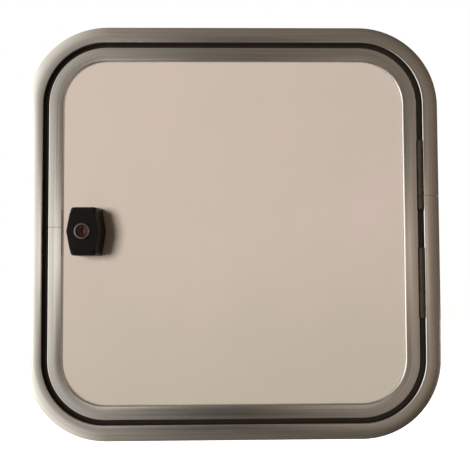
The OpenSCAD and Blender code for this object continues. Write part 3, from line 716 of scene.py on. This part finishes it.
@dataclass
class LockStack:
    """The lock behind the panel: the threaded barrel, its nut and the cam's screw.

    Sizes that the frame doesn't give are in millimetres.
    """

    finishes: dict[str, bpy.types.Material]
    barrel_r: float = 11.0
    flat_half: float = 10.0
    flange_t: float = 2.2
    bore_r: float = 5.55
    pitch: float = 1.5
    thread_depth: float = 0.7
    nut_bore_r: float = 11.1
    screw_r: float = 2.5
    screw_head_t: float = 2.8
    cross: tuple[float, float] = (1.9, 0.4)
    axis: tuple[float, float] = field(default_factory=lock_axis)

    def barrel(self) -> bpy.types.Object:
        """Make the barrel: a flange, and a threaded shank with two flats, round a plain bore.

        At a depth y and a direction t, the thread's radius falls from the crest by its depth times
        twice the distance of y / pitch + t / full turn from the nearest whole number. The flats cap it.

        Returns:
            The barrel.
        """
        low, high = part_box("lock_barrel")
        front, end = low.y / MM, high.y / MM
        flange_r = (high.x - low.x) / 2 / MM
        angle = np.linspace(0, 2 * np.pi, 120, endpoint=False)
        seat = front + self.flange_t
        depth = np.arange(seat + 0.6, end - 0.4, self.pitch / 8)
        turn = depth[:, None] / self.pitch + angle[None, :] / (2 * np.pi)
        thread = self.barrel_r - self.thread_depth * 2 * np.abs(turn - np.round(turn))
        plain = np.array([[self.barrel_r - self.thread_depth]] * 2) * np.ones_like(angle)
        tip = np.array([[self.barrel_r - self.thread_depth - 0.3]]) * np.ones_like(angle)
        flat = self.flat_half / np.maximum(np.abs(np.sin(angle)), 1e-6)
        shank = np.minimum(np.vstack([plain, thread, plain[:1], tip]), flat)
        shank_y = np.concatenate([[seat, seat + 0.5], depth, [end - 0.3, end]])
        flange = np.array([self.bore_r, flange_r - 0.4, flange_r, flange_r])[:, None] * np.ones_like(angle)
        flange_y = np.array([front, front, front + 0.4, seat])
        bore = self.bore_r * np.ones((1, angle.size))
        rows = polar_rows(np.vstack([flange, shank, bore]) * MM,
                          np.concatenate([flange_y, shank_y, [end]]) * MM, angle, self.axis)
        piece = surface("lock_barrel_thread", rows, poles=False, sharp_deg=50)
        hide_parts("lock_barrel")
        return dress(piece, Body.DOOR, Slot.ZINC, self.finishes)

    def nut(self) -> bpy.types.Object:
        """Make the hexagon nut: its radius is the lesser of the hexagon's and of a cone at each face.

        Returns:
            The nut.
        """
        low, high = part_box("lock_nut")
        front, back, point = low.y / MM, high.y / MM, (high.x - low.x) / 2 / MM
        flat = point * math.cos(math.pi / 6)
        angle = np.linspace(0, 2 * np.pi, 144, endpoint=False)
        hexagon = flat / np.cos((angle + 1e-9) % (np.pi / 3) - np.pi / 6)
        depth = np.concatenate([np.linspace(front, front + 1.2, 7), np.linspace(back - 1.2, back, 7)])
        near = np.minimum(depth - front, back - depth)
        cone = flat - 0.4 + near[:, None] / math.tan(math.radians(30))
        body = np.minimum(hexagon[None, :], cone)
        even = np.ones((1, angle.size))
        rows = polar_rows(np.vstack([self.nut_bore_r * even, body, self.nut_bore_r * even]) * MM,
                          np.concatenate([[front], depth, [back]]) * MM, angle, self.axis)
        piece = surface("lock_nut_hexagon", rows, poles=False, sharp_deg=25)
        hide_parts("lock_nut")
        return dress(piece, Body.DOOR, Slot.ZINC, self.finishes)

    def screw(self) -> bpy.types.Object:
        """Make the cam's screw: a domed head with a cross recess, on a plain shank.

        The recess reaches as far as the farther of two crossed rectangles. The dome falls off with the
        square of the radius.

        Returns:
            The screw.
        """
        low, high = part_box("cam_screw")
        tip, top, head_r = low.y / MM, high.y / MM, (high.x - low.x) / 2 / MM
        under = top - self.screw_head_t
        angle = np.linspace(0, 2 * np.pi, 144, endpoint=False)
        long, thin = self.cross
        cross = np.maximum(rectangle_reach(angle, long, thin), rectangle_reach(angle, thin, long))
        even = np.ones_like(angle)
        dome = np.linspace(0.5, 1, 7)[:, None] * head_r * even
        dome_y = top - 0.9 * (np.linspace(0.5, 1, 7)) ** 2
        radii = np.vstack([0.3 * cross, 0.75 * cross, cross, dome, [0.97 * head_r * even],
                           [self.screw_r * even], [self.screw_r * even], [0.8 * self.screw_r * even]])
        depths = np.concatenate([[top - 1.3, top - 1.2, top - 0.15], dome_y, [under, under, tip + 0.5, tip]])
        piece = surface("cam_screw_domed", polar_rows(radii * MM, depths * MM, angle, self.axis), sharp_deg=35)
        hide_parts("cam_screw")
        return dress(piece, Body.KNOB, Slot.ZINC, self.finishes)

    def build(self) -> list[bpy.types.Object]:
        """Make every piece of the lock that shows behind the panel."""
        return [self.barrel(), self.nut(), self.screw()]


def dress(piece: bpy.types.Object, body: Body, slot: Slot,
          finishes: dict[str, bpy.types.Material]) -> bpy.types.Object:
    """Give a new piece its finish and the body that it moves with.

    Args:
        piece: The new piece.
        body: The body that it moves with.
        slot: Its finish.
        finishes: Materials by slot.

    Returns:
        The same piece.
    """
    piece.data.materials.append(finishes[slot.value])
    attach(piece, body.value)
    return piece


@dataclass
class Stage:
    """A pale floor behind and below the door, and a tent that only the door's gloss sees.

    Each direction round the front, from the right towards the top in steps of an eighth of a turn, has its
    own row of levels at the same angles from the front, in degrees.
    """

    floor_z: float = -0.62
    floor_front: float = 0.3
    floor_back: float = 6.0
    floor_half: float = 4.0
    tent_r: float = 7.5
    angles: tuple[float, ...] = (0, 9, 14, 18, 24, 34, 50, 75, 100, 122)
    levels: tuple[tuple[float, ...], ...] = (
        (0.20, 0.85, 1.00, 0.75, 0.45, 0.33, 0.27, 0.20, 0.15, 0.10),
        (0.12, 0.12, 0.15, 0.18, 0.22, 0.25, 0.21, 0.16, 0.12, 0.06),
        (0.12, 0.08, 0.11, 0.13, 0.15, 0.18, 0.22, 0.23, 0.20, 0.05),
        (0.12, 0.20, 0.25, 0.33, 0.43, 0.53, 0.76, 1.00, 1.05, 0.80),
        (0.30, 1.50, 1.95, 1.45, 1.05, 1.15, 1.90, 2.60, 3.20, 3.20),
        (0.10, 0.05, 0.05, 0.22, 0.46, 0.60, 0.86, 1.10, 1.15, 1.10),
        (0.08, 0.02, 0.02, 0.04, 0.07, 0.12, 0.15, 0.17, 0.16, 0.06),
        (0.10, 0.14, 0.22, 0.27, 0.32, 0.33, 0.22, 0.11, 0.07, 0.06),
    )
    cool: tuple[float, float, float] = (1.0, 0.97, 0.93)
    warm: tuple[float, float, float] = (1.0, 0.88, 0.78)

    def floor(self) -> bpy.types.Object:
        """Make the floor: pale, white to the eye where it is lit, and greyer in the object's shadow."""
        x, y0, y1, z = self.floor_half, self.floor_front, self.floor_back, self.floor_z
        mesh = bpy.data.meshes.new("floor")
        mesh.from_pydata([(-x, y0, z), (x, y0, z), (x, y1, z), (-x, y1, z)], [], [(0, 1, 2, 3)])
        piece = bpy.data.objects.new("floor", mesh)
        bpy.context.scene.collection.objects.link(piece)
        material = bpy.data.materials.new("pale_floor")
        material.use_nodes = True
        tree = material.node_tree
        tree.nodes.clear()
        seen = seen_rays(tree)
        glow = add_node(tree, "Math", {0: seen, 1: 0.84}, operation="MULTIPLY")
        grain = add_node(tree, "TexNoise", {"Scale": 40.0})
        tone = add_node(tree, "Mix", {0: grain.outputs["Fac"], 6: linear("#e9e9e9"), 7: linear("#efefef")},
                        data_type="RGBA")
        shader = add_node(tree, "BsdfPrincipled", {
            "Base Color": tone.outputs[2], "Roughness": 0.8, "Emission Color": linear("#ffffff"),
            "Emission Strength": glow.outputs[0]})
        add_node(tree, "OutputMaterial", {"Surface": shader.outputs[0]})
        piece.data.materials.append(material)
        return piece

    def tent_light(self, a: np.ndarray, b: np.ndarray) -> np.ndarray:
        """Work out the tent's light: a row's weight is the squared cosine of twice the turn from it.

        It is warm from the top round the right to the bottom, most so far out on the right, and turns
        cool towards the left, and white far out there.

        Args:
            a: Angle from the front, in radians.
            b: Direction round the front, from the right towards the top.

        Returns:
            Red, green, blue and an alpha of 1, with one row for each point.
        """
        level = np.zeros_like(a)
        for number, row in enumerate(self.levels):
            off = np.abs((b - number * np.pi / 4 + np.pi) % (2 * np.pi) - np.pi)
            level += np.where(off < np.pi / 4, np.cos(2 * off) ** 2, 0) * np.interp(np.degrees(a), self.angles, row)
        side, deep = np.cos(b), np.clip((np.degrees(a) - 20) / 25, 0, 1)
        share = np.clip(1 + side, 0, 1) * (1 + 0.9 * deep * np.maximum(side, 0))
        white = deep * np.maximum(-side, 0)
        tints = [level * (cool + (1 - cool) * white + (warm - cool) * share)
                 for cool, warm in zip(self.cool, self.warm)]
        return np.stack([*tints, np.ones_like(level)], axis=-1)

    def tent(self) -> bpy.types.Object:
        """Make the tent, which the camera doesn't see, and which ends behind the wall's plane.

        A point is the radius times (sin a cos b, -cos a, sin a sin b), with a from 0 at the front and b
        all the way round.

        Returns:
            The tent.
        """
        a, b = np.meshgrid(np.radians(np.linspace(0.5, self.angles[-1], 96)),
                           np.linspace(0, 2 * np.pi, 96, endpoint=False), indexing="ij")
        points = self.tent_r * np.stack([np.sin(a) * np.cos(b), -np.cos(a), np.sin(a) * np.sin(b)], axis=-1)
        index = np.arange(a.size).reshape(a.shape)
        lower, upper = index[:-1], index[1:]
        quads = np.stack([lower, np.roll(lower, -1, 1), np.roll(upper, -1, 1), upper], -1).reshape(-1, 4)
        mesh = bpy.data.meshes.new("tent")
        mesh.from_pydata(points.reshape(-1, 3).tolist(), [], quads.tolist())
        light = mesh.color_attributes.new("light", "FLOAT_COLOR", "POINT")
        light.data.foreach_set("color", self.tent_light(a, b).ravel())
        piece = bpy.data.objects.new("tent", mesh)
        bpy.context.scene.collection.objects.link(piece)
        material = bpy.data.materials.new("grey_tent")
        material.use_nodes = True
        tree = material.node_tree
        tree.nodes.clear()
        own = add_node(tree, "Attribute", attribute_name="light")
        shader = add_node(tree, "Emission", {"Color": own.outputs["Color"], "Strength": 1.0})
        add_node(tree, "OutputMaterial", {"Surface": shader.outputs[0]})
        piece.data.materials.append(material)
        piece.visible_camera = False
        piece.visible_diffuse = False
        piece.visible_shadow = False
        return piece

    def world(self) -> None:
        """Set the world: white to the eye and in reflections, and a dim warm light on the object."""
        world = bpy.data.worlds.new("soft_studio")
        bpy.context.scene.world = world
        world.use_nodes = True
        tree = world.node_tree
        tree.nodes.clear()
        seen = seen_rays(tree)
        strength = add_node(tree, "MapRange", {"Value": seen, "To Min": 0.12, "To Max": 1.0})
        colour = add_node(tree, "Mix", {0: seen, 6: linear("#ffe0c5"), 7: linear("#ffffff")}, data_type="RGBA")
        background = add_node(tree, "Background", {"Color": colour.outputs[2],
                                                   "Strength": strength.outputs["Result"]})
        add_node(tree, "OutputWorld", {"Surface": background.outputs[0]})

    def build(self) -> None:
        """Make the floor, the tent and the world."""
        self.floor()
        self.tent()
        self.world()


def seen_rays(tree: Tree) -> Socket:
    """Return a socket that is 1 for rays from the camera, off gloss and through glass, and else 0.

    Args:
        tree: The node tree of a stage material or of the world.

    Returns:
        The greatest of the three ray tests.
    """
    path = add_node(tree, "LightPath")
    pair = add_node(tree, "Math", {0: path.outputs["Is Camera Ray"], 1: path.outputs["Is Glossy Ray"]},
                    operation="MAXIMUM")
    every = add_node(tree, "Math", {0: pair.outputs[0], 1: path.outputs["Is Transmission Ray"]},
                     operation="MAXIMUM")
    return every.outputs[0]


@dataclass(frozen=True)
class Softbox:
    """A rectangular lamp that faces the middle of the door and isn't mirrored in its metal."""

    name: str
    azimuth: float
    rise: float
    distance: float
    size: tuple[float, float]
    level: float
    colour: str = "#ffffff"

    def build(self) -> None:
        """Add the lamp. Its watts give the level as the share of the light that a white sheet returns."""
        left, up = math.radians(self.azimuth), math.radians(self.rise)
        place = self.distance * Vector((-math.sin(left) * math.cos(up), -math.cos(left) * math.cos(up),
                                        math.sin(up)))
        light = bpy.data.lights.new(self.name, "AREA")
        light.shape = "RECTANGLE"
        light.size, light.size_y = self.size
        light.energy = self.level * (math.pi * self.distance) ** 2 / abs(math.cos(left) * math.cos(up))
        light.color = linear(self.colour)[:3]
        lamp = bpy.data.objects.new(self.name, light)
        lamp.location = place
        lamp.rotation_euler = (-place).to_track_quat("-Z", "Y").to_euler()
        lamp.visible_camera = False
        lamp.visible_glossy = False
        bpy.context.scene.collection.objects.link(lamp)


LAMPS = (
    Softbox("window", 30.0, 4.0, 7.0, (2.4, 2.6), 0.9),
    Softbox("back_window", 210.0, 20.0, 4.0, (2.0, 2.0), 0.7),
)


def add_camera() -> None:
    """Add the camera where the photo was taken from: a little low and left, looking slightly up."""
    place = Vector((-6.3 * MM, -512 * MM, -21.5 * MM))
    yaw, pitch, roll = (math.radians(a) for a in (-0.81, 1.986, 0.24))
    focal_px, image_px, sensor_mm = 510.0, 470.0, 36.0
    camera = bpy.data.cameras.new("camera")
    camera.sensor_width = sensor_mm
    camera.lens = sensor_mm * focal_px / image_px
    camera.clip_start = 0.01
    piece = bpy.data.objects.new("camera", camera)
    turn = Matrix.Rotation(yaw, 4, "Z") @ Matrix.Rotation(pitch, 4, "X") @ Matrix.Rotation(roll, 4, "Y")
    piece.matrix_world = Matrix.Translation(place) @ turn @ Matrix.Rotation(math.pi / 2, 4, "X")
    bpy.context.scene.collection.objects.link(piece)
    bpy.context.scene.camera = piece


def dress_frame(finishes: dict[str, bpy.types.Material]) -> None:
    """Give every CAD node the finish of its slot, or its own where it has one.

    Args:
        finishes: Materials by slot, or by node for a node with a finish of its own.
    """
    slots = {part["node"]: part["material_slot"] for part in frame["record"]["subparts"]}
    for name, piece in frame["nodes"].items():
        material = finishes.get(name) or finishes[slots[name]]
        piece.data.materials.clear()
        piece.data.materials.append(material)
        LOG.info("%s: %s", name, slots[name])


def main() -> None:
    """Dress the frame, add the new pieces, and set the stage, the lamps and the camera."""
    logging.basicConfig(level=logging.INFO, format="%(message)s")
    bpy.context.scene.view_settings.view_transform = "Standard"
    finishes = {name: finish.build() for name, finish in door_finishes().items()}
    dress_frame(finishes)
    for piece in LockKnob(finishes).build() + LockStack(finishes).build():
        LOG.info("%s: %d faces", piece.name, len(piece.data.polygons))
    Stage().build()
    for lamp in LAMPS:
        lamp.build()
    add_camera()


if __name__ == "__main__":
    main()
